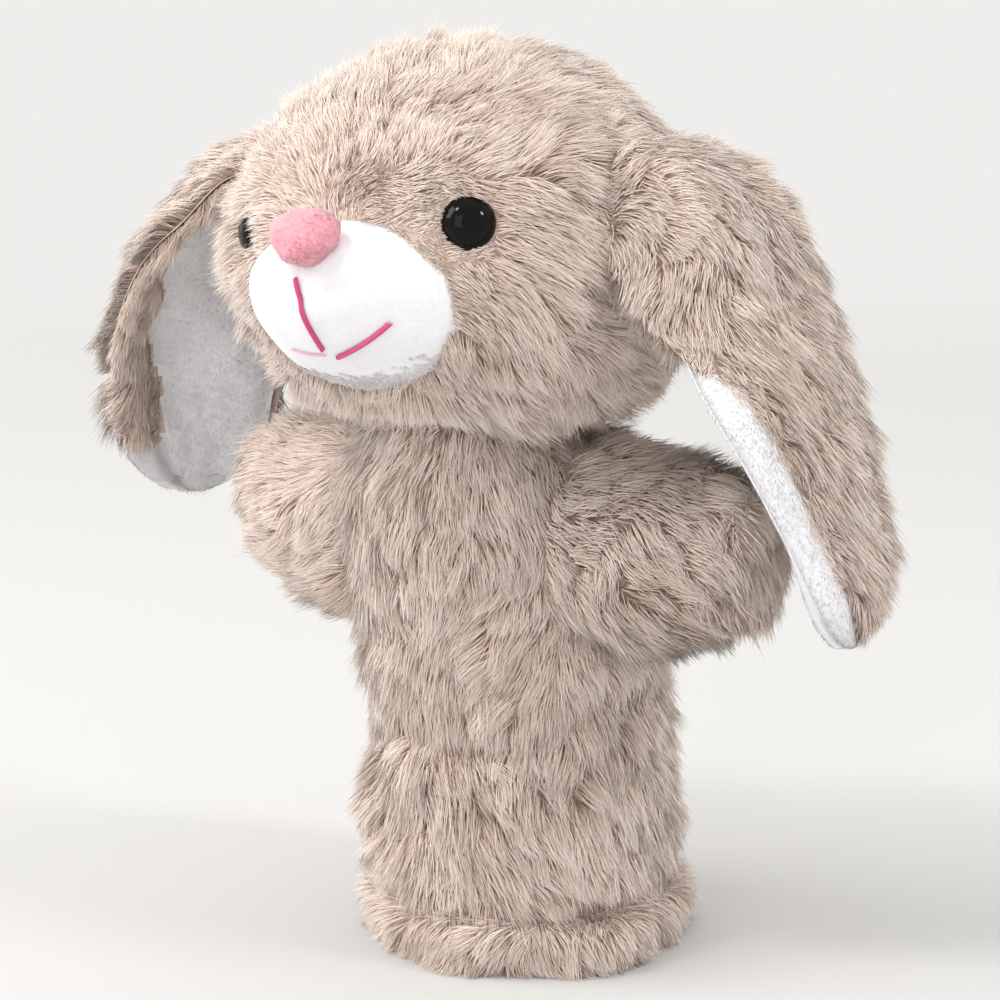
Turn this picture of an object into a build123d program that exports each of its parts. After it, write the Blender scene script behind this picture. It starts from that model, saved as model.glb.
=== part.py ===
from build123d import *
import os
from math import cos, radians, sin

# Plush rabbit glove puppet, standing on its open hem. Millimetres, +Z up, the face looks along -Y,
# the puppet's left side is +X. The origin is the centre of the round hand opening, at floor level.
# Fur cloth is drawn as its backing plus the compressed root of the pile.

# ---- driving dimensions -------------------------------------------------------------------
fur_cloth = 2.3          # backing and compressed pile of the fur cloth on the body
lining_cloth = 1.2       # lining knit
clear = 0.4              # free gap between pieces that move on each other

hem_radius = 43.5        # outside of the turned hem band
hem_height = 14.0
hand_radius = 36.0       # free radius of the hand opening
hem_thread_radius = 0.5

sleeve_y = -2.0          # the sleeve tube stands slightly forward of the hem
sleeve_radius = 41.2     # outside of the sleeve
wrist = Vector(0, sleeve_y, 62.0)   # the cloth bends about this point
skirt_low = -14.0        # torso lining runs this far below the wrist, inside the sleeve
skirt_high = 17.0        # torso cloth starts this far above the wrist

chest_top = 140.0
# height, centre y, half width, half depth of the torso outside
torso_sections = [
    (wrist.Z + skirt_high, -3.0, 41.0, 40.0),
    (105.0, -9.0, 39.5, 38.0),
    (126.0, -17.0, 38.0, 35.0),
    (chest_top, -23.0, 34.0, 31.0),
]

shoulder = Vector(42.0, -19.0, 118.0)
shoulder_radius = 23.5
arm_tip_radius = 18.0
arm_tip_x = 84.0
arm_root_x = 24.0        # the arm's cloth is open here for the finger

neck = Vector(0, -25.0, 150.0)      # the head nods and turns about this point
collar_radius = 26.0
finger_radius = 13.0     # free radius of the finger pocket
pocket_top = 214.0
pocket_wall = 1.2
pocket_round = 9.0       # rounding of the pocket's closed end, inside

head_y = -32.0
head_radius = 56.0
head_waist = 195.0       # height of the widest section
head_up = 52.0
head_down = 44.0
head_cloth = 3.0

muzzle_centre = Vector(0, -68.0, 183.0)
muzzle_half = Vector(33.5, 35.5, 20.4)
muzzle_pitch = 27.0      # the muzzle points this far up
face_roll = 4.5          # the face leans to the puppet's right
muzzle_back = -56.0      # the muzzle is cut off behind this plane, inside the head
muzzle_cloth = 1.2
nose_centre = Vector(0, -99.5, 203.6)
nose_half = Vector(9.0, 6.0, 6.9)
stitch_width = 1.5
stitch_height = 0.9

eye_angle = 35.5         # either side of straight ahead
eye_height = 204.6
eye_tilt = 2.2           # the left eye sits this much higher, the right one lower
eye_radius = 6.9
eye_dome = 4.8
shank_radius = 2.1
shank_length = 12.0
washer_radius = 9.0
washer_depth = 5.4
washer_thickness = 1.4

ear_fur_half = 3.0       # thickness of the fur layer at mid ear
ear_lining_half = 2.0    # thickness of the lining layer at mid ear
ear_gap = 0.2
# x, y, z of the middle line, turn of the blade about Z in degrees, width; root first
left_ear = [
    (52, -32, 224, 0, 36),
    (66, -31, 221, -8, 46),
    (76, -30, 208, -14, 54),
    (81.5, -28.5, 191, -14, 58),
    (87.5, -27, 176, -9, 57),
    (95, -24, 155, -2, 54),
    (101.5, -20.5, 134, 2, 46),
    (106, -17.5, 116, 3, 30),
    (108.5, -16, 103, 3, 10),
]
right_ear = [
    (-52, -32, 224, 0, 36),
    (-66, -31, 220, 0, 46),
    (-77, -29, 207, 6, 54),
    (-85.5, -27, 193, 18, 58),
    (-92.5, -23, 178, 30, 58),
    (-98, -19, 163, 37, 56),
    (-101.5, -16.5, 148, 40, 50),
    (-104.5, -14, 135, 41, 36),
    (-106, -13, 124, 41, 12),
]

os.makedirs("parts", exist_ok=True)


def keep(builder, name):
    """Label a finished piece and write its STEP file."""
    builder.part.label = name
    export_step(builder.part, f"parts/{name}.step")


# ---- hem and sleeve (the part the hand goes into first) ------------------------------------
with BuildPart() as hem_band:
    with BuildSketch():
        Circle(hem_radius)
        Circle(hand_radius, mode=Mode.SUBTRACT)
    extrude(amount=hem_height)
    fillet(hem_band.edges().filter_by(GeomType.CIRCLE).group_by(SortBy.RADIUS)[-1], radius=2.5)
keep(hem_band, "hem_band")

with BuildPart() as hem_thread:
    with Locations((0, sleeve_y, hem_height + hem_thread_radius)):
        Torus(sleeve_radius + hem_thread_radius, hem_thread_radius)
keep(hem_thread, "hem_thread")


def sleeve_panel(name, side):
    """One half of the sleeve's fur tube; side is -1 for the front and 1 for the back."""
    with BuildPart() as panel:
        with BuildSketch(Plane.XY.offset(hem_height)):
            with Locations((0, sleeve_y)):
                Circle(sleeve_radius)
                Circle(sleeve_radius - fur_cloth, mode=Mode.SUBTRACT)
        extrude(amount=wrist.Z + 0.7 - hem_height)
        split(bisect_by=Plane.XZ.offset(-sleeve_y), keep=Keep.TOP if side < 0 else Keep.BOTTOM)
    keep(panel, name)


sleeve_panel("sleeve_front_panel", -1)
sleeve_panel("sleeve_back_panel", 1)

lining_outside = sleeve_radius - fur_cloth
with BuildPart() as sleeve_lining:
    with BuildSketch(Plane.XY.offset(hem_height)):
        with Locations((0, sleeve_y)):
            Circle(lining_outside)
            Circle(lining_outside - lining_cloth, mode=Mode.SUBTRACT)
    extrude(amount=wrist.Z + skirt_low - 1 - hem_height)
keep(sleeve_lining, "sleeve_lining")


# ---- torso ---------------------------------------------------------------------------------
def torso_solid(inset):
    """The torso's outside, drawn in by inset."""
    with BuildPart() as body:
        for height, centre_y, half_width, half_depth in torso_sections:
            with BuildSketch(Plane.XY.offset(height)):
                with Locations((0, centre_y)):
                    Ellipse(half_width - inset, half_depth - inset)
        loft()
    return body.part


def shoulder_holes(radius):
    """Both shoulder balls, to be cut from the torso."""
    with BuildPart() as balls:
        with Locations(shoulder, (-shoulder.X, shoulder.Y, shoulder.Z)):
            Sphere(radius)
    return balls.part


shoulder_cut = shoulder_holes(shoulder_radius + clear)
torso_skin = torso_solid(0)
torso_inside = torso_solid(fur_cloth)
torso_cavity = torso_solid(fur_cloth + lining_cloth)
neck_hole = collar_radius - 1.0


def torso_panel(name, side):
    """One half of the torso's fur cloth with its shoulder and neck openings."""
    with BuildPart() as panel:
        add(torso_skin)
        add(torso_inside, mode=Mode.SUBTRACT)
        with BuildSketch(Plane.XY.offset(chest_top)):
            with Locations((0, torso_sections[-1][1])):
                Ellipse(torso_sections[-1][2] - 1, torso_sections[-1][3] - 1)
        extrude(amount=-fur_cloth)
        with BuildSketch(Plane.XY.offset(chest_top + 1)):
            with Locations((neck.X, neck.Y)):
                Circle(neck_hole)
        extrude(amount=-fur_cloth - 2, mode=Mode.SUBTRACT)
        add(shoulder_cut, mode=Mode.SUBTRACT)
        split(bisect_by=Plane.XZ.offset(-shoulder.Y), keep=Keep.TOP if side < 0 else Keep.BOTTOM)
    keep(panel, name)


torso_panel("torso_front_panel", -1)
torso_panel("torso_back_panel", 1)

skirt_radius = sleeve_radius - fur_cloth - clear
skirt_top_radius = (skirt_radius**2 - skirt_high**2) ** 0.5 - lining_cloth
skirt_ledge = wrist.Z + skirt_high
skirt_rise = skirt_high + lining_cloth / 2 - skirt_low
with BuildPart() as chest_room:
    add(torso_cavity)
    with BuildSketch(Plane.XY.offset(skirt_ledge)):
        Rectangle(200, 200)
    extrude(amount=lining_cloth, mode=Mode.SUBTRACT)

with BuildPart() as torso_lining:
    add(torso_inside)
    add(chest_room.part, mode=Mode.SUBTRACT)
    with BuildSketch(Plane.XY.offset(chest_top)):
        Rectangle(200, 200)
    extrude(amount=-fur_cloth, mode=Mode.SUBTRACT)
    add(shoulder_cut, mode=Mode.SUBTRACT)
    with BuildSketch(Plane.XY.offset(skirt_ledge)):
        with Locations((0, wrist.Y)):
            Circle(skirt_top_radius)
    extrude(amount=lining_cloth, mode=Mode.SUBTRACT)
    with BuildSketch(Plane.XZ.offset(-wrist.Y)):
        with Locations((0, wrist.Z)):
            Circle(skirt_radius)
            Circle(skirt_radius - lining_cloth, mode=Mode.SUBTRACT)
        with Locations((0, wrist.Z + skirt_low)):
            Rectangle(200, skirt_rise, align=(Align.MIN, Align.MIN), mode=Mode.INTERSECT)
    revolve(axis=Axis(wrist, (0, 0, 1)))
keep(torso_lining, "torso_lining")


# ---- arms: finger pockets of fur cloth, open at the shoulder --------------------------------
def arm_solid(side, inset):
    """Shoulder ball, tapered arm and round tip, drawn in by inset; side is 1 left, -1 right."""
    ball = shoulder_radius - inset
    tip = arm_tip_radius - inset
    tip_x = arm_tip_x - arm_tip_radius
    lean = (shoulder_radius - arm_tip_radius) / (tip_x - shoulder.X)
    across = (1 - lean**2) ** 0.5
    ball_top = (shoulder.X + ball * lean, ball * across)
    tip_top = (tip_x + tip * lean, tip * across)
    frame = Plane(
        origin=(0, shoulder.Y, shoulder.Z),
        x_dir=(side, 0, 0),
        z_dir=(0, 0, side),
    )
    with BuildPart() as arm:
        with BuildSketch(frame):
            with BuildLine():
                Polyline((shoulder.X - ball, 0), (arm_tip_x - inset, 0))
                RadiusArc((shoulder.X - ball, 0), ball_top, ball)
                Line(ball_top, tip_top)
                RadiusArc(tip_top, (arm_tip_x - inset, 0), tip)
            make_face()
        revolve(axis=Axis((0, shoulder.Y, shoulder.Z), (1, 0, 0)))
        with BuildSketch(Plane.YZ.offset(side * arm_root_x)):
            Rectangle(400, 600)
        extrude(amount=-side * 60, mode=Mode.SUBTRACT)
    return arm.part


def arm_panel(name, side, half):
    """Front or back fur half of one arm."""
    with BuildPart() as panel:
        add(arm_solid(side, 0))
        add(arm_solid(side, fur_cloth), mode=Mode.SUBTRACT)
        split(bisect_by=Plane.XZ.offset(-shoulder.Y), keep=Keep.TOP if half < 0 else Keep.BOTTOM)
    keep(panel, name)


for side_name, side in (("left", 1), ("right", -1)):
    arm_panel(f"arm_{side_name}_front_panel", side, -1)
    arm_panel(f"arm_{side_name}_back_panel", side, 1)
    with BuildPart() as arm_lining:
        add(arm_solid(side, fur_cloth))
        add(arm_solid(side, fur_cloth + lining_cloth), mode=Mode.SUBTRACT)
    keep(arm_lining, f"arm_{side_name}_lining")


# ---- neck: gathered collar, a round band about the neck point -------------------------------
with BuildPart() as neck_collar:
    with BuildSketch(Plane.XZ.offset(-neck.Y)):
        with Locations((0, neck.Z)):
            Circle(collar_radius)
            Circle(collar_radius - 1.8, mode=Mode.SUBTRACT)
        with Locations((0, chest_top - 2.8)):
            Rectangle(100, 34, align=(Align.MIN, Align.MIN), mode=Mode.INTERSECT)
    revolve(axis=Axis(neck, (0, 0, 1)))
keep(neck_collar, "neck_collar")


# ---- head ----------------------------------------------------------------------------------
def head_solid(inset):
    """The egg of the head, drawn in by inset, with the ball-shaped hollow over the neck."""
    widest = head_radius - inset
    outline = []
    for angle in range(-90, 91, 15):
        height = head_up if angle > 0 else head_down
        rise = (height - inset) * sin(radians(angle))
        outline.append((head_y + widest * cos(radians(angle)), head_waist + rise))
    with BuildPart() as egg:
        with BuildSketch(Plane.YZ):
            with BuildLine():
                Spline(*outline, tangents=((1, 0), (-1, 0)))
                Line(outline[-1], outline[0])
            make_face()
        revolve(axis=Axis((0, head_y, 0), (0, 0, 1)))
        with Locations(neck):
            Sphere(collar_radius + clear, mode=Mode.SUBTRACT)
    return egg.part


def ellipsoid(centre, half, pitch, grow):
    """An ellipsoid grown by grow, pointing up by pitch and leaning with the face."""
    ball = scale(Sphere(1), by=(half.X + grow, half.Y + grow, half.Z + grow))
    return Pos(*centre) * Rot(Y=-face_roll) * Rot(X=-pitch) * ball


def eye_frame(side):
    """Plane through the eye's axis: local X runs across the face, local Y straight out."""
    angle = radians(eye_angle) * side
    height = eye_height + eye_tilt * side
    rise = (height - head_waist) / head_up
    reach = head_radius * (1 - rise**2) ** 0.5
    outward = Vector(sin(angle), -cos(angle), 0.12).normalized()
    across = Vector(cos(angle), sin(angle), 0)
    spot = Vector(sin(angle) * reach, head_y - cos(angle) * reach, height)
    return Plane(origin=spot, x_dir=across, z_dir=across.cross(outward))


def turned_on_eye(side, outline):
    """A solid turned about the eye's axis from (radius, distance out) points."""
    frame = eye_frame(side)
    with BuildPart() as turned:
        with BuildSketch(frame):
            with BuildLine():
                Polyline(*outline, close=True)
            make_face()
        revolve(axis=Axis(frame.origin, frame.y_dir))
    return turned.part


head_skin = head_solid(0)
head_inside = head_solid(head_cloth)
muzzle_outside = ellipsoid(muzzle_centre, muzzle_half, muzzle_pitch, 0)
muzzle_inside = ellipsoid(muzzle_centre, muzzle_half, muzzle_pitch, -muzzle_cloth)

eye_pocket = [
    (0, 6),
    (eye_radius + 0.2, 6),
    (eye_radius + 0.2, -1),
    (shank_radius, -1),
    (shank_radius, -8),
    (0, -8),
]
washer_back = -washer_depth - washer_thickness
washer_room = [
    (0, 0),
    (washer_radius + 0.3, 0),
    (washer_radius + 0.3, washer_back - 0.2),
    (shank_radius + 0.3, washer_back - 0.2),
    (shank_radius + 0.3, -shank_length - 0.5),
    (0, -shank_length - 0.5),
]


def head_panel(name, side):
    """Face half (side -1) or back half (side 1) of the head's fur cloth."""
    with BuildPart() as panel:
        add(head_skin)
        add(head_inside, mode=Mode.SUBTRACT)
        split(bisect_by=Plane.XZ.offset(-head_y), keep=Keep.TOP if side < 0 else Keep.BOTTOM)
        if side < 0:
            add(turned_on_eye(1, eye_pocket), mode=Mode.SUBTRACT)
            add(turned_on_eye(-1, eye_pocket), mode=Mode.SUBTRACT)
    keep(panel, name)


head_panel("head_face_panel", -1)
head_panel("head_back_panel", 1)


def pocket_solid(grow):
    """The round-ended finger space inside the head, grown by grow."""
    with BuildPart() as pocket:
        with BuildSketch(Plane.XY.offset(neck.Z)):
            with Locations((neck.X, neck.Y)):
                Circle(finger_radius + grow)
        extrude(amount=pocket_top + grow - neck.Z)
        fillet(pocket.faces().sort_by(Axis.Z)[-1].edges(), radius=pocket_round + grow)
    return pocket.part


pocket_outside = pocket_solid(pocket_wall)

with BuildPart() as finger_pocket:
    with Locations(neck):
        Sphere(collar_radius + clear + pocket_wall)
    add(head_inside, mode=Mode.INTERSECT)
    add(pocket_outside)
    add(pocket_solid(0), mode=Mode.SUBTRACT)
    with Locations(neck):
        Sphere(collar_radius + clear, mode=Mode.SUBTRACT)
keep(finger_pocket, "finger_pocket")

with BuildPart() as head_stuffing:
    add(head_inside)
    with Locations(neck):
        Sphere(collar_radius + clear + pocket_wall, mode=Mode.SUBTRACT)
    add(pocket_outside, mode=Mode.SUBTRACT)
    add(turned_on_eye(1, washer_room), mode=Mode.SUBTRACT)
    add(turned_on_eye(-1, washer_room), mode=Mode.SUBTRACT)
keep(head_stuffing, "head_stuffing")

# ---- eyes: glossy dome with a shank through the cloth, locked by a washer inside ------------
washer_profile = [
    (shank_radius, -washer_depth),
    (washer_radius, -washer_depth),
    (washer_radius, washer_back),
    (shank_radius, washer_back),
]
for side_name, side in (("left", 1), ("right", -1)):
    frame = eye_frame(side)
    with BuildPart() as eye:
        with BuildSketch(frame):
            with BuildLine():
                dome = ThreePointArc((0, eye_dome), (eye_radius * 0.73, eye_dome * 0.69), (eye_radius, 0))
                Polyline(
                    dome @ 1,
                    (eye_radius, -0.8),
                    (shank_radius, -0.8),
                    (shank_radius, -shank_length),
                    (0, -shank_length),
                    dome @ 0,
                )
            make_face()
        revolve(axis=Axis(frame.origin, frame.y_dir))
    keep(eye, f"eye_{side_name}")

    with BuildPart() as eye_washer:
        with BuildSketch(frame):
            with BuildLine():
                Polyline(*washer_profile, close=True)
            make_face()
        revolve(axis=Axis(frame.origin, frame.y_dir))
    keep(eye_washer, f"eye_washer_{side_name}")

# ---- muzzle, nose and stitched mouth --------------------------------------------------------
with BuildPart() as behind_muzzle:
    with Locations((0, muzzle_back, muzzle_centre.Z)):
        Box(200, 200, 200, align=(Align.CENTER, Align.MIN, Align.CENTER))

with BuildPart() as muzzle_stuffing:
    add(muzzle_inside)
    add(head_solid(-0.05), mode=Mode.SUBTRACT)
    add(behind_muzzle.part, mode=Mode.SUBTRACT)
keep(muzzle_stuffing, "muzzle_stuffing")

with BuildPart() as muzzle_cover:
    add(muzzle_outside)
    add(muzzle_inside, mode=Mode.SUBTRACT)
    add(head_skin, mode=Mode.SUBTRACT)
    add(behind_muzzle.part, mode=Mode.SUBTRACT)
keep(muzzle_cover, "muzzle_cover")

nose_solid = ellipsoid(nose_centre, nose_half, 0, 0)
with BuildPart() as nose:
    add(nose_solid)
    add(muzzle_outside, mode=Mode.SUBTRACT)
    add(head_skin, mode=Mode.SUBTRACT)
keep(nose, "nose")

stitch_shell = ellipsoid(muzzle_centre, muzzle_half, muzzle_pitch, stitch_height)


def mouth_stitch(name, start, middle, end):
    """A raised band of satin stitch lying on the muzzle, along an arc seen from the front."""
    with BuildPart() as stitch:
        with BuildSketch(Plane.XZ.offset(-muzzle_centre.Y)):
            with BuildLine():
                ThreePointArc(start, middle, end)
            trace(line_width=stitch_width)
        extrude(amount=muzzle_half.Y + 5)
        add(stitch_shell, mode=Mode.INTERSECT)
        add(muzzle_outside, mode=Mode.SUBTRACT)
        add(nose_solid, mode=Mode.SUBTRACT)
    keep(stitch, name)


mouth_stitch("mouth_centre_stitch", (1.8, 176), (1.6, 185), (0.6, 194))
mouth_stitch("mouth_left_stitch", (4.4, 173.6), (12.4, 176), (19.6, 182.6))
mouth_stitch("mouth_right_stitch", (-0.6, 173), (-8.6, 173.6), (-16.6, 177.6))


# ---- ears: a fur layer outside and a short-pile lining inside, hinged at the root -----------
def ear_layer(name, sections, side, half_thickness, start_angle):
    """Loft of half-ellipse sections; start_angle 0 gives the outer layer, 180 the inner one."""
    points = [Vector(*section[:3]) for section in sections]
    gap = ear_gap if start_angle == 0 else -ear_gap
    with BuildPart() as layer:
        for index, (turn, width) in enumerate(section[3:] for section in sections):
            before = points[max(index - 1, 0)]
            after = points[min(index + 1, len(points) - 1)]
            turn_angle = radians(turn)
            across = Vector(-sin(turn_angle), side * cos(turn_angle), 0)
            section = Plane(origin=points[index], x_dir=across, z_dir=after - before)
            thickness = half_thickness * min(1, 0.35 + width / 70)
            with BuildSketch(section):
                with BuildLine():
                    bow = EllipticalCenterArc((0, gap), width / 2, thickness, start_angle, arc_size=180)
                    Line(bow @ 1, bow @ 0)
                make_face()
        loft()
    keep(layer, name)


for side_name, side, sections in (("left", 1, left_ear), ("right", -1, right_ear)):
    ear_layer(f"ear_{side_name}_fur", sections, side, ear_fur_half, 0)
    ear_layer(f"ear_{side_name}_lining", sections, side, ear_lining_half, 180)
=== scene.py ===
import math

import bpy
import numpy as np
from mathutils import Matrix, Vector
from mathutils.kdtree import KDTree


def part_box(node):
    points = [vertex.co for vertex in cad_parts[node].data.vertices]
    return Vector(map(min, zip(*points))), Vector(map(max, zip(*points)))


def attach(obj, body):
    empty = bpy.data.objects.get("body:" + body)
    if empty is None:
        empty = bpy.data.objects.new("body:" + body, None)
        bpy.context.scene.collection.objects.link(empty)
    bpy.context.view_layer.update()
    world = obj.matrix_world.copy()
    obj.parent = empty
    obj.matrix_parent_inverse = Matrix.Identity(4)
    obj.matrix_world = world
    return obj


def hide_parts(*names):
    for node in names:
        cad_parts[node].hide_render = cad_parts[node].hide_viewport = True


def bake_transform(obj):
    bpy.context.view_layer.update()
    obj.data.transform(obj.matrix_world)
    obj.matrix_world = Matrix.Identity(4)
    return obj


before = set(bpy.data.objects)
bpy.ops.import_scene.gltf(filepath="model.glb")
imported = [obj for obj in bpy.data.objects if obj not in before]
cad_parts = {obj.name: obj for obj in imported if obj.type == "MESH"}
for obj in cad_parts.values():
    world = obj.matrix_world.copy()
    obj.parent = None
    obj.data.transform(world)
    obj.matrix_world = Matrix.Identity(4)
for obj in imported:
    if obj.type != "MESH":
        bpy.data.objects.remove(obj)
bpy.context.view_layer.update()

# Lengths in this script are millimetres until a mesh is made; +Z is up and the face looks along -Y.
MM = 0.001
FUR_SHARE = 1.0
FUR_WIDTH = 0.32
FLOOR_GAP = 0.15


# ---- small maths ----------------------------------------------------------------------------
def unit(v):
    return v / np.maximum(np.linalg.norm(v, axis=-1, keepdims=True), 1e-9)


def dot(a, b):
    return (a * b).sum(-1, keepdims=True)


def ease(x, low, high):
    """0 below low, 1 above high, smooth between."""
    t = np.clip((np.asarray(x, float) - low) / (high - low), 0, 1)
    return t * t * (3 - 2 * t)


def through(x, knots, values):
    """A smooth curve through the values at the knots, read at x. Values may have columns."""
    knots = np.asarray(knots, float)
    values = np.asarray(values, float)
    slopes = np.gradient(values, knots, axis=0)
    x = np.clip(np.asarray(x, float), knots[0], knots[-1])
    i = np.clip(np.searchsorted(knots, x) - 1, 0, len(knots) - 2)
    step = knots[i + 1] - knots[i]
    t = (x - knots[i]) / step
    if values.ndim > 1:
        t, step = t[..., None], step[..., None]
    a, b = values[i], values[i + 1]
    da, db = slopes[i] * step, slopes[i + 1] * step
    return (
        (2 * t**3 - 3 * t**2 + 1) * a
        + (t**3 - 2 * t**2 + t) * da
        + (3 * t**2 - 2 * t**3) * b
        + (t**3 - t**2) * db
    )


def wobble(p, size, seed):
    """Seeded smooth noise of about unit strength; size is the distance between its bumps."""
    r = np.random.default_rng(seed)
    waves = unit(r.normal(size=(20, 3))) * (2 * np.pi / size) * r.uniform(0.6, 1.5, (20, 1))
    return np.sin(p @ waves.T + r.uniform(0, 2 * np.pi, 20)).sum(-1) / 20**0.5 * 1.4


def near_direction(d, target, width):
    """1 where the directions d point at target, falling to 0 over about width radians."""
    angle = np.arccos(np.clip(d @ (np.array(target) / np.linalg.norm(target)), -1, 1))
    return np.exp(-((angle / width) ** 2))


# ---- meshes ---------------------------------------------------------------------------------
def grid_faces(rows, columns, wrap=True):
    i, j = np.meshgrid(np.arange(rows - 1), np.arange(columns if wrap else columns - 1), indexing="ij")
    a, b = i * columns + j, i * columns + (j + 1) % columns
    return np.stack([a, b, b + columns, a + columns], -1).reshape(-1, 4)


def add_mesh(name, points, faces, material):
    """A smooth mesh object from millimetre points and faces that all have as many corners."""
    mesh = bpy.data.meshes.new(name)
    mesh.from_pydata((np.asarray(points, float) * MM).tolist(), [], [list(map(int, f)) for f in faces])
    mesh.polygons.foreach_set("use_smooth", np.ones(len(mesh.polygons), bool))
    mesh.materials.append(material)
    made = bpy.data.objects.new(name, mesh)
    bpy.context.scene.collection.objects.link(made)
    return made


def thicken(made, thickness, offset=-1.0):
    """Gives a cloth surface its real thickness, with a closed rim."""
    solid = made.modifiers.new("thickness", "SOLIDIFY")
    solid.thickness = thickness * MM
    solid.offset = offset
    solid.use_rim = True


class Skin:
    """A quad surface in millimetres that pile grows on."""

    def __init__(self, points, quads):
        self.points, self.quads = points, quads
        self.triangles = np.concatenate([quads[:, [0, 1, 2]], quads[:, [0, 2, 3]]])
        a, b, c = (points[self.triangles[:, k]] for k in range(3))
        cross = np.cross(b - a, c - a)
        self.area = np.linalg.norm(cross, axis=1) / 2
        normals = np.zeros_like(points)
        for k in range(3):
            np.add.at(normals, self.triangles[:, k], cross)
        self.normals = unit(normals)

    def scatter(self, count, rng):
        pick = self.triangles[rng.choice(len(self.area), count, p=self.area / self.area.sum())]
        u, v = rng.random((2, count, 1))
        u, v = np.where(u + v > 1, 1 - u, u), np.where(u + v > 1, 1 - v, v)

        def mixed(values):
            a, b, c = (values[pick[:, k]] for k in range(3))
            return a + u * (b - a) + v * (c - a)

        return mixed(self.points), unit(mixed(self.normals))


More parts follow.
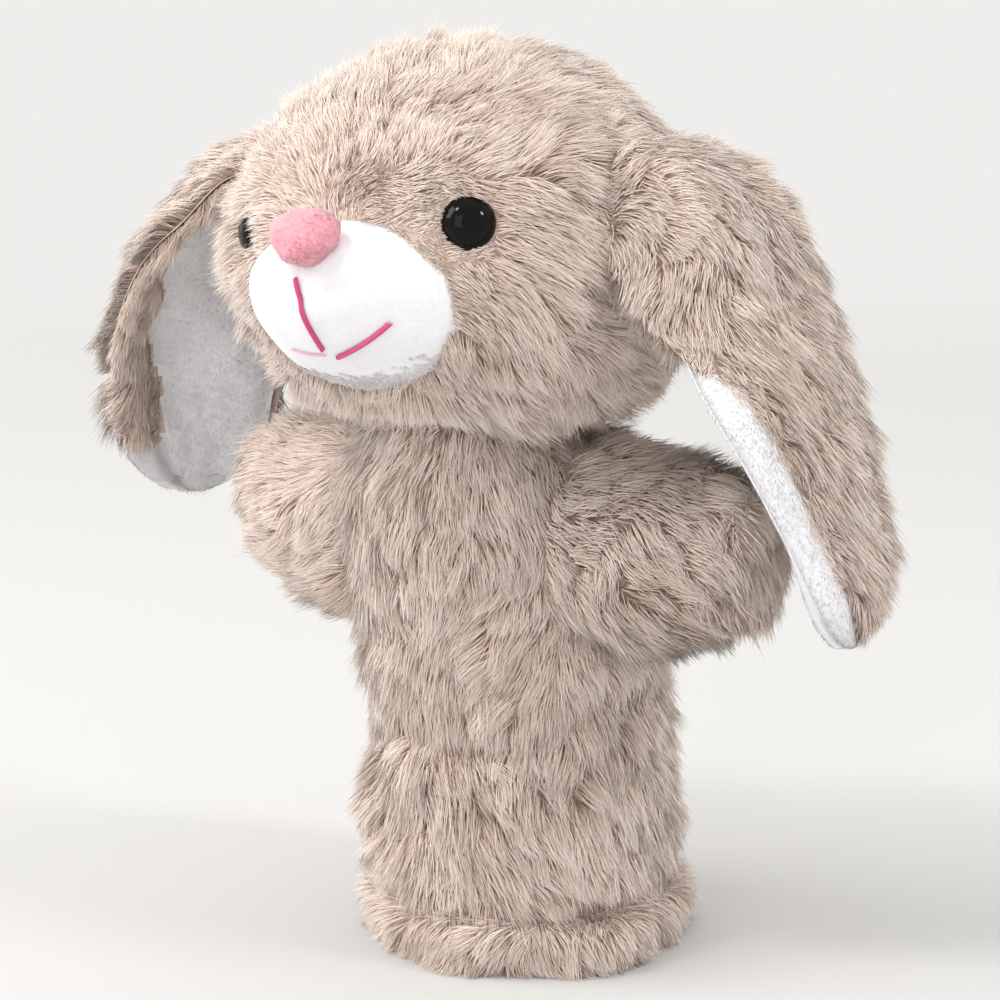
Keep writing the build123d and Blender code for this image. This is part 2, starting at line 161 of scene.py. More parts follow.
# ---- pile -----------------------------------------------------------------------------------
class Pile:
    """Curved strands growing on a skin, gathered in tufts. line holds each strand's points, root to tip."""

    steps = np.array([0, 0.45, 1.0])
    most_strands = 19000

    def __init__(self, skin, density, comb, length, seed, tuft=5.6, lean=(32, 66), pull=0.3, droop=0.16,
                 bare=None):
        """density is in strands a square millimetre, comb gives the lie of the pile and length its reach.
        lean holds the tilt of the two spans of a strand, and bare marks the roots that grow nothing."""
        rng = np.random.default_rng(seed)
        total = skin.area.sum()
        root, normal = skin.scatter(int(total * density * FUR_SHARE), rng)
        if bare is not None:
            kept = ~bare(root)
            root, normal = root[kept], normal[kept]
        count = len(root)
        seed_root = skin.scatter(max(8, int(total / tuft**2)), rng)[0]
        tree = KDTree(len(seed_root))
        for k, p in enumerate(seed_root):
            tree.insert(p, k)
        tree.balance()
        near = np.array([tree.find(p)[1] for p in root + rng.normal(0, 0.12 * tuft, root.shape)])
        seeds = len(seed_root)
        away = root - seed_root[near]
        away -= dot(away, normal) * normal
        spread = np.linalg.norm(away, axis=1, keepdims=True)
        away *= np.minimum(1, 1.4 * tuft / np.maximum(spread, 1e-6))

        flow = comb(root)
        flow = unit(flow - dot(flow, normal) * normal)
        angle = rng.normal(0, 0.26, seeds)[near] + 0.22 * wobble(root, 34, seed + 1)
        angle = angle + rng.normal(0, 0.13, count)
        flow = np.cos(angle)[:, None] * flow + np.sin(angle)[:, None] * np.cross(normal, flow)

        size = length(root) * rng.normal(1, 0.1, seeds)[near] * rng.normal(1, 0.13, count)
        size *= 1 - 0.16 * np.minimum(1, spread[:, 0] / tuft) ** 2
        size = np.maximum(size, 0.25 * length(root))
        tilt = rng.normal(0, 6, seeds)[near] + rng.normal(0, 5, count) + 5 * wobble(root, 21, seed + 2)

        here = root - 0.3 * normal
        line = [here]
        for k, a in enumerate(lean):
            polar = np.radians(np.clip(a + tilt, 4, 86))[:, None]
            heading = np.cos(polar) * normal + np.sin(polar) * flow
            heading = unit(heading + np.array([0, 0, -droop * (k + 1) / 2]))
            here = here + heading * (size * (self.steps[k + 1] - self.steps[k]))[:, None]
            line.append(here)
        line = np.stack(line, 1)
        line -= pull * (self.steps**1.15)[None, :, None] * away[:, None, :]
        self.line, self.normal, self.root = line, normal, root
        self.roll = rng.normal(0, 0.5, count)
        tone = 0.5 + rng.normal(0, 0.17, count) + rng.normal(0, 0.08, seeds)[near]
        self.tone = np.clip(tone + 0.06 * wobble(root, 26, seed + 3), 0, 1)

    def part(self, chosen):
        """The strands that chosen marks, as a pile of their own."""
        piece = object.__new__(Pile)
        for name in ("line", "normal", "root", "roll", "tone"):
            setattr(piece, name, getattr(self, name)[chosen])
        return piece

    def cover(self, name, width, material, slot, fasten, centre=(0, 0), curl=0.4):
        """Makes the pile as meshes of at most most_strands, cut by angle round the vertical axis at centre.
        fasten is applied to each mesh."""
        count = math.ceil(len(self.root) / FUR_SHARE / self.most_strands)
        angle = np.argsort(np.arctan2(self.root[:, 1] - centre[1], self.root[:, 0] - centre[0]))
        for k, chosen in enumerate(np.array_split(angle, count)):
            made = self.part(chosen).mesh(f"{name}_{k + 1}", width, material, curl)
            fasten(made)

    def mesh(self, name, width, material, curl):
        """The strands as closed, tapered, three-sided solids. Each has its own cell of the UV map.
        curl is how much a strand's own roundness shows in its shading, against the cloth's."""
        line = self.line.copy()
        line[..., 2] = np.maximum(line[..., 2], FLOOR_GAP)
        count, rings = line.shape[0], line.shape[1] - 1
        along = unit(np.gradient(line, axis=1)[:, :rings])
        side = unit(np.cross(along, self.normal[:, None, :]))
        up = np.cross(side, along)
        c, s = np.cos(self.roll)[:, None, None], np.sin(self.roll)[:, None, None]
        side, up = c * side + s * up, c * up - s * side
        half = (width / 2 * np.array([1, 0.8])[:rings])[None, :, None]
        corners = [(-1.0, 0.25), (1.0, 0.25), (0.0, -0.75)]
        ring = np.stack([line[:, :rings] + half * (x * side + y * up) for x, y in corners], 2)
        points = np.concatenate([ring.reshape(count, rings * 3, 3), line[:, rings:]], 1)
        facing = np.stack([x * side + (y + 0.25) * up for x, y in corners], 2).reshape(count, rings * 3, 3)
        facing = np.concatenate([facing, up[:, -1:]], 1)
        soft = unit(curl * (facing + 0.6 * along[:, -1:]) + self.normal[:, None, :])
        per = rings * 3 + 1
        loops, sizes = [2, 1, 0], [3]
        for r in range(rings - 1):
            for k in range(3):
                n = (k + 1) % 3
                loops += [3 * r + k, 3 * r + n, 3 * r + 3 + n, 3 * r + 3 + k]
                sizes.append(4)
        last = 3 * (rings - 1)
        for k in range(3):
            loops += [last + k, last + (k + 1) % 3, per - 1]
            sizes.append(3)
        loops, sizes = np.array(loops), np.array(sizes)
        base = np.arange(count) * per
        corner = (base[:, None] + loops).ravel().astype(np.int32)
        starts = np.concatenate([[0], np.cumsum(sizes)[:-1]])
        starts = (np.arange(count)[:, None] * len(loops) + starts).ravel().astype(np.int32)

        mesh = bpy.data.meshes.new(name)
        mesh.vertices.add(count * per)
        mesh.vertices.foreach_set("co", (points * MM).astype(np.float32).ravel())
        mesh.loops.add(len(corner))
        mesh.loops.foreach_set("vertex_index", corner)
        mesh.polygons.add(len(starts))
        mesh.polygons.foreach_set("loop_start", starts)
        mesh.update(calc_edges=True)
        mesh.polygons.foreach_set("use_smooth", np.ones(len(starts), bool))
        mesh.normals_split_custom_set_from_vertices(soft.reshape(-1, 3))

        t = np.concatenate([np.repeat(self.steps[:rings], 3), [1.0]])
        cells = math.ceil(count**0.5)
        cell = np.stack([np.arange(count) % cells, np.arange(count) // cells], 1) / cells
        across = np.concatenate([np.tile([0.25, 0.5, 0.75], rings), [0.5]])
        inside = np.stack([across, 0.16 + 0.68 * t], 1) / cells
        uv = (cell[:, None, :] + inside[None, :, :])[:, loops].astype(np.float32)
        layer = mesh.uv_layers.new(name="OFBake")
        layer.data.foreach_set("uv", uv.ravel())
        for label, values in (("along", np.tile(t, count)), ("tone", np.repeat(self.tone, per))):
            attribute = mesh.attributes.new(label, "FLOAT", "POINT")
            attribute.data.foreach_set("value", values.astype(np.float32))
        mesh.materials.append(material)
        made = bpy.data.objects.new(name, mesh)
        bpy.context.scene.collection.objects.link(made)
        return made


# ---- materials ------------------------------------------------------------------------------
class Shader:
    """A material being wired up from nodes."""

    def __init__(self, name, roughness, **sockets):
        self.material = bpy.data.materials.new(name)
        self.material.use_nodes = True
        self.tree = self.material.node_tree
        self.principled = self.tree.nodes["Principled BSDF"]
        self.principled.inputs["Roughness"].default_value = roughness
        for key, value in sockets.items():
            self.principled.inputs[key.replace("_", " ")].default_value = value
        self.coordinates = self.tree.nodes.new("ShaderNodeTexCoord").outputs["Object"]

    def link(self, source, target):
        self.tree.links.new(source, target)

    def node(self, kind, **settings):
        made = self.tree.nodes.new(kind)
        for key, value in settings.items():
            setattr(made, key, value)
        return made

    def noise(self, scale, detail=3.0, stretch=None):
        made = self.node("ShaderNodeTexNoise")
        made.inputs["Scale"].default_value = scale
        made.inputs["Detail"].default_value = detail
        source = self.coordinates
        if stretch is not None:
            mapping = self.node("ShaderNodeMapping")
            mapping.inputs["Scale"].default_value = stretch
            self.link(source, mapping.inputs["Vector"])
            source = mapping.outputs["Vector"]
        self.link(source, made.inputs["Vector"])
        return made.outputs["Fac"]

    def bands(self, direction, scale, distortion):
        made = self.node("ShaderNodeTexWave", wave_type="BANDS", bands_direction=direction)
        made.inputs["Scale"].default_value = scale
        made.inputs["Distortion"].default_value = distortion
        self.link(self.coordinates, made.inputs["Vector"])
        return made.outputs["Fac"]

    def attribute(self, name):
        return self.node("ShaderNodeAttribute", attribute_name=name).outputs["Fac"]

    def ramp(self, factor, *stops):
        made = self.node("ShaderNodeValToRGB")
        elements = made.color_ramp.elements
        while len(elements) < len(stops):
            elements.new(0.5)
        for element, (place, colour) in zip(elements, stops):
            element.position = place
            element.color = (*colour, 1)
        self.link(factor, made.inputs["Fac"])
        return made.outputs["Color"]

    def times(self, first, second):
        """The product of two colours."""
        made = self.node("ShaderNodeMix", data_type="RGBA", blend_type="MULTIPLY")
        sockets = [s for s in made.inputs if s.type == "RGBA"]
        self.link(first, sockets[0])
        self.link(second, sockets[1])
        made.inputs["Factor"].default_value = 1.0
        return next(s for s in made.outputs if s.type == "RGBA")

    def bump(self, height, strength, distance):
        made = self.node("ShaderNodeBump")
        made.inputs["Strength"].default_value = strength
        made.inputs["Distance"].default_value = distance * MM
        self.link(height, made.inputs["Height"])
        self.link(made.outputs["Normal"], self.principled.inputs["Normal"])

    def finish(self, colour):
        self.link(colour, self.principled.inputs["Base Color"])
        return self.material


def grey(value):
    return (value, value, value)


def fur_material(name, root, middle, tip, sheen):
    s = Shader(name, 0.62, Sheen_Weight=sheen, Sheen_Roughness=0.45, Specular_IOR_Level=0.22)
    s.principled.inputs["Sheen Tint"].default_value = (1.0, 0.94, 0.88, 1)
    # the strands darken towards the root: painted shade deep in the pile, where strands shadow each other
    base = s.ramp(s.attribute("along"), (0.0, root), (0.5, middle), (1.0, tip))
    strand = s.ramp(s.attribute("tone"), (0.0, (0.68, 0.61, 0.57)), (0.5, grey(0.98)), (1.0, grey(1.08)))
    patches = s.ramp(s.noise(42, 2), (0.3, (0.93, 0.915, 0.9)), (0.7, grey(1.05)))
    return s.finish(s.times(s.times(base, strand), patches))


def backing_material(name, dark, light):
    """The fur cloth's backing, seen between strands: short dense undercoat, coloured darker than the pile as
    painted shade between the strands.
    """
    s = Shader(name, 0.9, Sheen_Weight=0.15, Specular_IOR_Level=0.1)
    fine = s.noise(1500, 2)
    s.bump(fine, 0.5, 0.5)
    colour = s.ramp(fine, (0.3, dark), (0.7, light))
    return s.finish(s.times(colour, s.ramp(s.noise(60, 2), (0.3, grey(0.88)), (0.7, grey(1.06)))))


def plush_material(name, shade, light, sheen=0.5, nap=900):
    """Short-pile plush: fine nap with slightly darker streaks of painted shade."""
    s = Shader(name, 0.8, Sheen_Weight=sheen, Sheen_Roughness=0.4, Specular_IOR_Level=0.15)
    fine = s.noise(nap, 3)
    s.bump(fine, 0.25, 0.2)
    colour = s.ramp(fine, (0.32, shade), (0.68, light))
    painted_shade_lanes = s.ramp(s.noise(130, 3, (1, 1, 0.5)), (0.35, grey(0.965)), (0.65, grey(1.01)))
    return s.finish(s.times(colour, painted_shade_lanes))


def thread_material(name, dark, light):
    s = Shader(name, 0.42, Sheen_Weight=0.3, Specular_IOR_Level=0.4)
    twist = s.bands("DIAGONAL", 1400, 2)
    s.bump(twist, 0.35, 0.12)
    return s.finish(s.ramp(twist, (0.2, dark), (0.8, light)))


def knit_material(name, dark, light):
    s = Shader(name, 0.85, Sheen_Weight=0.25, Specular_IOR_Level=0.15)
    rib = s.bands("Z", 260, 3)
    s.bump(rib, 0.5, 0.4)
    colour = s.ramp(rib, (0.1, dark), (0.9, light))
    return s.finish(s.times(colour, s.ramp(s.noise(500, 2), (0.3, grey(0.9)), (0.7, grey(1.05)))))


# the darker root colour is painted shade deep in the pile
FUR_ROOT = (0.52, 0.370, 0.300)
FUR_MIDDLE = (0.86, 0.700, 0.610)
FUR_TIP = (0.95, 0.855, 0.790)
fur = fur_material("beige_pile", FUR_ROOT, FUR_MIDDLE, FUR_TIP, 0.35)
# the backing's darker colour is painted shade in the gaps between strands
backing = backing_material("fur_backing_painted_shade", (0.50, 0.39, 0.33), (0.70, 0.57, 0.49))
white_pile = fur_material("white_pile", (0.84, 0.84, 0.875), (0.87, 0.87, 0.90), (0.90, 0.90, 0.93), 0.2)
white_plush = plush_material("white_plush", (0.83, 0.83, 0.865), (0.88, 0.88, 0.91))
pink = plush_material("pink_flock", (0.84, 0.32, 0.39), (0.97, 0.47, 0.55), 0.6, 1600)
pink_pile = fur_material("pink_nap", (0.84, 0.32, 0.385), (0.95, 0.47, 0.55), (0.98, 0.62, 0.69), 0.4)
mouth_thread = thread_material("mouth_thread", (0.50, 0.02, 0.13), (0.83, 0.10, 0.32))
faint_thread = thread_material("mouth_thread_faint", (0.80, 0.36, 0.50), (0.92, 0.58, 0.68))
hem_thread = thread_material("hem_thread", (0.30, 0.23, 0.19), (0.45, 0.36, 0.30))
knit = knit_material("lining_knit", (0.50, 0.42, 0.36), (0.66, 0.575, 0.50))
stuffing = plush_material("polyester_fibre", (0.80, 0.79, 0.77), (0.92, 0.915, 0.90), 0.3, 300)


def eye_material():
    s = Shader("eye_gloss", 0.05, Specular_IOR_Level=0.16)
    cloud = s.noise(220, 2)
    return s.finish(s.ramp(cloud, (0.3, (0.001, 0.001, 0.001)), (0.7, (0.004, 0.003, 0.003))))


def washer_material():
    s = Shader("washer_plastic", 0.45)
    grain = s.noise(900, 2)
    s.bump(grain, 0.2, 0.05)
    return s.finish(s.ramp(grain, (0.3, (0.72, 0.72, 0.69)), (0.7, (0.82, 0.82, 0.79))))


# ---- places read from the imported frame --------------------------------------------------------
def low(node):
    return np.array(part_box(node)[0]) / MM


def high(node):
    return np.array(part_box(node)[1]) / MM


HEM_TOP = high("hem_band")[2]
SLEEVE_Y = (low("sleeve_front_panel")[1] + high("sleeve_back_panel")[1]) / 2
SHOULDER_Y = high("arm_left_front_panel")[1]
SHOULDER_Z = (low("arm_left_front_panel")[2] + high("arm_left_front_panel")[2]) / 2
SHOULDER = np.array([42.0, SHOULDER_Y, SHOULDER_Z])
ARM_TIP = high("arm_left_front_panel")[0] - 2.5
NECK = np.array([0, (low("neck_collar")[1] + high("neck_collar")[1]) / 2, 150.0])
HEAD_WIDE = high("head_face_panel")[0]
HEAD_Y = high("head_face_panel")[1]
HEAD = np.array([0, HEAD_Y, 195.0])
HEAD_UP = high("head_back_panel")[2] - HEAD[2]
HEAD_DOWN = 44.0
MUZZLE = np.array([0, -68.0, 183.0])
MUZZLE_HALF = np.array([33.5, 35.5, 20.4])
NOSE = np.array([0, -99.5, 203.6])
NOSE_HALF = np.array([9.0, 6.0, 6.9])
EYE_ANGLE = math.radians(35.5)
EYE_RADIUS = 6.9


def face_turn(pitch, roll=4.5):
    """The turn that points a ball on the face upwards and leans it to the puppet's right."""
    a, b = math.radians(-pitch), math.radians(roll)
    tip = np.array([[1, 0, 0], [0, math.cos(a), -math.sin(a)], [0, math.sin(a), math.cos(a)]])
    lean = np.array([[math.cos(b), 0, -math.sin(b)], [0, 1, 0], [math.sin(b), 0, math.cos(b)]])
    return lean @ tip


MUZZLE_TURN = face_turn(27)
NOSE_TURN = face_turn(0)


def eye_place(side):
    """The middle of an eye on the head, and the direction that it looks."""
    height = 204.6 + 2.2 * side
    rise = (height - HEAD[2]) / HEAD_UP
    reach = HEAD_WIDE * (1 - rise**2) ** 0.5
    spot = np.array([side * math.sin(EYE_ANGLE) * reach, HEAD_Y - math.cos(EYE_ANGLE) * reach, height])
    out = np.array([side * math.sin(EYE_ANGLE), -math.cos(EYE_ANGLE), 0.12])
    return spot, out / np.linalg.norm(out)


def piece(name, points, faces, material, fasten, slot, *nodes, thickness=0.0):
    """A mesh with its material, thickness and fastening, in place of the CAD nodes. slot is not used."""
    made = add_mesh(name, points, faces, material)
    if thickness:
        thicken(made, thickness)
    fasten(made)
    if nodes:
        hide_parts(*nodes)
    return made


def riding(body):
    """A fastening that ties a mesh to one body."""
    return lambda made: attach(made, body)


def bending(start, end):
    """A fastening that only bakes a mesh's placement into its points and ties it to no body; start and end,
    in millimetres, are not used.
    """
    start, end = tuple(MM * np.array(start, float)), tuple(MM * np.array(end, float))
    return lambda made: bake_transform(made)


def even(size):
    """The same length all over."""
    return lambda p: np.full(len(p), size)


on_sleeve, on_neck, on_head = riding("sleeve"), riding("neck"), riding("head")


def around(columns):
    """The cosines and sines of evenly spaced angles round a ring."""
    u = np.linspace(0, 2 * np.pi, columns, endpoint=False)
    return np.cos(u), np.sin(u)


def ring_stack(x, y, z):
    """Points of a surface made of rings, one ring in a row, as a flat list."""
    return np.stack(np.broadcast_arrays(x, y, z), -1).reshape(-1, 3)


def facing_out(points, quads, centre):
    """The quads, turned so that their normals point away from the centre."""
    skin = Skin(points, quads)
    return quads[:, ::-1] if dot(skin.normals, points - centre).mean() < 0 else quads


# ---- body: sleeve and torso in one tube of cloth -----------------------------------------------
BODY_SECTIONS = [  # height, middle y, half width, half depth
    (4, -0.5, 41.0, 41.0),
    (12, -1.0, 40.0, 40.0),
    (17, -1.5, 37.6, 37.8),
    (24, -1.8, 39.2, 39.2),
    (34, -2.0, 39.6, 39.4),
    (48, -2.2, 38.6, 38.6),
    (62, -2.8, 38.0, 38.0),
    (76, -4.2, 39.0, 38.6),
    (92, -7.0, 39.4, 38.0),
    (110, -12.0, 39.0, 36.6),
    (126, -17.0, 37.0, 34.0),
    (138, -21.0, 32.5, 30.0),
    (146, -24.0, 26.0, 25.0),
    (150, -25.0, 22.0, 22.0),
]


def body_surface(inset, bottom, top, rows, columns=144):
    knots = [r[0] for r in BODY_SECTIONS]
    z = np.linspace(bottom, top, rows)
    middle, wide, deep = through(z, knots, [r[1:] for r in BODY_SECTIONS]).T
    cosine, sine = around(columns)
    flat = ring_stack(
        (wide - inset)[:, None] * cosine, middle[:, None] + (deep - inset)[:, None] * sine, z[:, None]
    )
    push = 1.0 * wobble(flat, 46, 11) + 0.5 * wobble(flat, 19, 12)
    height = flat[:, 2]
    # the cloth creases where it bends forward, lower on the left side of the puppet
    crease = 66 + 0.16 * flat[:, 0] + 2.0 * wobble(flat, 60, 13)
    wrist = np.exp(-(((height - crease) / 5.0) ** 2))
    push -= 2.8 * wrist * ease(-flat[:, 1], -30, 25) * ease(flat[:, 0], -34, 0)
    crease = 88 - 0.30 * flat[:, 0]
    push -= 2.0 * np.exp(-(((height - crease) / 4.5) ** 2)) * ease(flat[:, 0], -5, 25)
    push *= ease(height, bottom, 24) * (1 - ease(height, 132, 148))
    out = np.tile(np.stack([cosine, sine, np.zeros(columns)], 1), (rows, 1))
    return flat + out * push[:, None]


at_wrist = bending((0, SLEEVE_Y, 44), (0, SLEEVE_Y, 84))
ROWS, COLUMNS = 90, 144
body_points = body_surface(0, 9, 150, ROWS)
body_quads = grid_faces(ROWS, COLUMNS)
body_skin = Skin(body_points, body_quads)


def half_grid(points, rows, columns, front):
    """The front or back half of a tube of cloth: its points and quads."""
    grid = points.reshape(rows, columns, 3)
    turn = columns // 2 if front else 0
    part = np.roll(grid, -turn, axis=1)[:, : columns // 2 + 1]
    return part.reshape(-1, 3), grid_faces(rows, columns // 2 + 1, wrap=False)


for word, front in (("front", True), ("back", False)):
    points, quads = half_grid(body_points, ROWS, COLUMNS, front)
    cloth = piece(f"body_cloth_{word}", points, quads, backing, at_wrist, "beige_fur",
                  f"sleeve_{word}_panel", f"torso_{word}_panel", thickness=1.8)

    points, quads = half_grid(body_surface(3.4, 7, 147, 70, 96), 70, 96, front)
    points = points + 0.35 * wobble(points, 9, 21)[:, None] * unit(points * [1, 1, 0])
    lining = piece(f"glove_lining_{word}", points, quads, knit, at_wrist, "lining_knit",
                   *(["sleeve_lining", "torso_lining"] if front else []), thickness=0.9)


def body_bare(p):
    """True inside either arm's root and under the hem band."""
    away = np.hypot(p[:, 1] - SHOULDER[1], p[:, 2] - SHOULDER[2])
    return ((np.abs(p[:, 0]) > 24) & (away < 17)) | (p[:, 2] < 15)


def body_comb(p):
    flow = np.zeros_like(p)
    flow[:, 2] = -1
    flow[:, 0] += 0.10 + 0.25 * wobble(p, 60, 31)
    flow[:, 1] += 0.2 * wobble(p, 60, 32)
    return flow


def body_length(p):
    return 10.5 - 1.5 * (1 - ease(p[:, 2], 16, 30))


body_pile = Pile(body_skin, 3.0, body_comb, body_length, 41, bare=body_bare)
lower = body_pile.root[:, 2] < 66
for word, chosen in (("sleeve_pile", lower), ("torso_pile", ~lower)):
    body_pile.part(chosen).cover(word, FUR_WIDTH, fur, "beige_fur", at_wrist, (0, SLEEVE_Y))


# ---- hem: turned band with the sewn groove above -----------------------------------------------
def hem_surface(rows=28, columns=160):
    across, upward = around(rows)
    outer, inner = high("hem_band")[0] - 0.6, 36.2
    radius = (outer + inner) / 2 + (outer - inner) / 2 * np.sign(across) * np.abs(across) ** 0.55
    height = HEM_TOP / 2 + HEM_TOP / 2 * np.sign(upward) * np.abs(upward) ** 0.7
    cosine, sine = around(columns)
    flat = ring_stack(radius[:, None] * cosine, radius[:, None] * sine, height[:, None])
    soft = 0.9 * wobble(flat, 34, 51) + 0.35 * wobble(flat, 12, 52)
    out = unit(flat * [1, 1, 0])
    flat = flat + out * soft[:, None]
    flat[:, 2] = np.maximum(flat[:, 2], 0.3)
    return flat, rows, columns


hem_points, rows, columns = hem_surface()
here = np.arange(columns)
ahead = (here + 1) % columns
last_row = (rows - 1) * columns
closing = np.stack([last_row + here, last_row + ahead, ahead, here], 1)
quads = np.concatenate([grid_faces(rows, columns), closing])
quads = quads[:, ::-1] if Skin(hem_points, quads).normals[0, 0] < 0 else quads
hem_skin = Skin(hem_points, quads)
piece("hem_band_cloth", hem_points, quads, backing, on_sleeve, "beige_fur", "hem_band")


def hem_comb(p):
    flow = np.zeros_like(p)
    flow[:, 2] = -1
    flow[:, 0] += 0.3 * wobble(p, 40, 53)
    return flow + 0.35 * unit(p * [1, 1, 0])


hem_pile = Pile(hem_skin, 3.2, hem_comb, even(8.0), 55, lean=(36, 60), droop=0.1,
                bare=lambda p: (np.hypot(p[:, 0], p[:, 1]) < 40.5))
hem_pile.cover("hem_pile", FUR_WIDTH, fur, "beige_fur", on_sleeve)


def stitches(middle, heading, normal, length, radius, sides=6):
    """Points and faces of short bowed threads, one at each middle, along heading, their ends in the cloth."""
    t = np.array([-1, -0.6, 0, 0.6, 1.0])
    rise = radius * np.array([-1.6, 0.1, 0.75, 0.1, -1.6])
    thick = radius * np.array([0.6, 1, 1.05, 1, 0.6])
    heading = unit(heading - dot(heading, normal) * normal)
    side = np.cross(heading, normal)
    spin = np.stack(around(sides), 1)
    points, faces = [], []
    for m, h, n, s in zip(middle, heading, normal, side):
        start = len(points)
        for k in range(len(t)):
            centre = m + h * t[k] * length / 2 + n * rise[k]
            points += [centre + thick[k] * (n * sine + s * cosine) for cosine, sine in spin]
        for k in range(len(t) - 1):
            for a in range(sides):
                b = (a + 1) % sides
                faces.append([start + k * sides + a, start + k * sides + b,
                              start + (k + 1) * sides + b, start + (k + 1) * sides + a])
        faces.append([start + a for a in range(sides)][::-1])
        faces.append([start + (len(t) - 1) * sides + a for a in range(sides)])
    return np.array(points), faces


cosine, sine = around(84)
ring_normal = ring_stack(cosine, sine, 0.0)
ring_middle = ring_normal * [38.2, 38.4, 0] + [0, -1.5, 16.8]
ring_along = ring_stack(-sine, cosine, 0.25)
points, faces = stitches(ring_middle, ring_along, ring_normal, 3.0, 0.42)
piece("hem_seam_thread", points, faces, hem_thread, on_sleeve, "hem_thread", "hem_thread")


# ---- arms ---------------------------------------------------------------------------------------
def arm_surface(side, inset, root=24.0, rows=54, columns=72):
    """A stubby round-ended arm, rising a little towards its tip."""
    s = np.linspace(0, 1, rows)
    tip = ARM_TIP - inset - (0 if side > 0 else 2.5)
    x = root + (tip - root) * np.sin(s * np.pi / 2) ** 0.9
    knots = [20, 34, 44, 56, 65, 72, 78, 81, ARM_TIP + 0.01]
    share = (x - root) / (tip - root)
    radius = through(x + inset * share, knots, [22.5, 23.8, 23.6, 22.2, 19.8, 16.4, 11.2, 7.0, 0.05])
    radius = np.maximum(radius - inset * ease(radius, 2, 14), 0.05)
    rise, swing = (1.5 if side > 0 else 6.0) * share**2, 3.0 * share**2
    cosine, sine = around(columns)
    flat = ring_stack(
        side * x[:, None],
        SHOULDER[1] + swing[:, None] + radius[:, None] * 0.86 * cosine * side,
        SHOULDER[2] + rise[:, None] + radius[:, None] * 1.04 * sine,
    )
    centre = np.stack([0 * flat[:, 0], flat[:, 1] - SHOULDER[1], flat[:, 2] - SHOULDER[2]], 1)
    soft = 0.8 * wobble(flat, 30, 61) * ease(np.linalg.norm(centre, axis=1), 2, 14)
    return flat + unit(centre) * soft[:, None], rows, columns


def arm_pieces(word, side):
    points, rows, columns = arm_surface(side, 0)
    quads = grid_faces(rows, columns)
    skin = Skin(points, quads)
    if (skin.normals[columns * 10] * (points[columns * 10] - SHOULDER * [side * 1.3, 1, 1])).sum() < 0:
        quads = quads[:, ::-1]
        skin = Skin(points, quads)
    shoulder = SHOULDER * [side, 1, 1]
    bend = bending(shoulder - [side * 15, 0, 0], shoulder + [side * 7, 0, 0])
    piece(f"arm_{word}_cloth", points, quads, backing, bend, "beige_fur",
          f"arm_{word}_front_panel", f"arm_{word}_back_panel", thickness=1.8)

    inner, rows, columns = arm_surface(side, 3.4)
    inner_quads = grid_faces(rows, columns)
    inner_quads = inner_quads if side > 0 else inner_quads[:, ::-1]
    piece(f"arm_{word}_glove", inner, inner_quads, knit, bend, "lining_knit", f"arm_{word}_lining",
          thickness=0.8)

    def comb(p):
        flow = np.zeros_like(p)
        flow[:, 0] = side
        flow[:, 2] = -0.45
        flow[:, 2] += 0.25 * wobble(p, 40, 63)
        flow[:, 1] += 0.2 * wobble(p, 40, 64)
        tip = ease(np.abs(p[:, 0]), 66, 84)[:, None]
        return flow * (1 - 0.7 * tip) + tip * np.array([0, 0, -0.9])

    grown = Pile(skin, 3.0, comb, even(9.5), 65 + side, bare=lambda p: np.abs(p[:, 0]) < 31)
    grown.cover(f"arm_{word}_pile", FUR_WIDTH, fur, "beige_fur", bend, shoulder[:2] + [side * 15, 0])


arm_pieces("left", 1)
arm_pieces("right", -1)


# ---- neck: cloth gathered between body and head ---------------------------------------------------
def neck_surface(rows=20, columns=120):
    u = np.linspace(0, 2 * np.pi, columns, endpoint=False)
    v = np.linspace(-0.52, 0.9, rows)[:, None]
    ball = 25.2
    pleat = 0.7 * np.sin(17 * u) + 0.35 * np.sin(29 * u + 1.3)
    radius = ball * np.cos(v) + pleat * np.cos(v * 0.9)
    return ring_stack(radius * np.cos(u), radius * np.sin(u), ball * np.sin(v)) + NECK, rows, columns


points, rows, columns = neck_surface()
quads = grid_faces(rows, columns)
neck_skin = Skin(points, quads)
piece("neck_gathers", points, quads, backing, on_neck, "beige_fur", "neck_collar", thickness=1.4)


def neck_comb(p):
    return unit((p - NECK) * [1, 1, 0]) - [0, 0, 0.8]


neck_pile = Pile(neck_skin, 2.6, neck_comb, even(10.0), 68, lean=(12, 50),
                 bare=lambda p: (p[:, 2] < 144) | (p[:, 2] > 153))
neck_pile.cover("neck_pile", FUR_WIDTH, fur, "beige_fur", on_neck, NECK[:2])


# ---- head -----------------------------------------------------------------------------------------
def head_radius(d):
    """How far the head reaches in each direction d from its middle."""
    height = np.where(d[:, 2] > 0, HEAD_UP, HEAD_DOWN)
    reach = 1 / np.sqrt((d[:, 0] ** 2 + d[:, 1] ** 2) / HEAD_WIDE**2 + d[:, 2] ** 2 / height**2)
    for side in (-1, 1):
        reach = reach + 6.5 * near_direction(d, (side * 0.80, 0.25, -0.54), 0.42)
        reach = reach + 3.5 * near_direction(d, (side * 0.55, 0.45, 0.70), 0.38)
        reach = reach + 1.5 * near_direction(d, (side * 0.62, -0.62, -0.42), 0.40)
        eye = eye_place(side)[0] - HEAD
        reach = reach + (2.2 if side > 0 else 3.4) * near_direction(d, eye, 0.30)
        reach = reach - 2.6 * near_direction(d, eye, 0.13)
        reach = reach + 1.2 * near_direction(d, eye + [0, 0, 16], 0.25)
    return reach


def head_surface(rows=96, columns=144):
    polar = np.linspace(0.50, np.pi, rows)
    cosine, sine = around(columns)
    wide = np.sin(polar)[:, None]
    flat = ring_stack(wide * cosine, wide * sine, -np.cos(polar)[:, None])
    reach = head_radius(flat) + 0.7 * wobble(flat * 58, 30, 71)
    p = HEAD + flat * reach[:, None]
    shift = (NECK[1] - HEAD[1]) * (1 - ease(np.repeat(polar, columns), 0.5, 0.8))
    p[:, 1] += shift
    return p, rows, columns


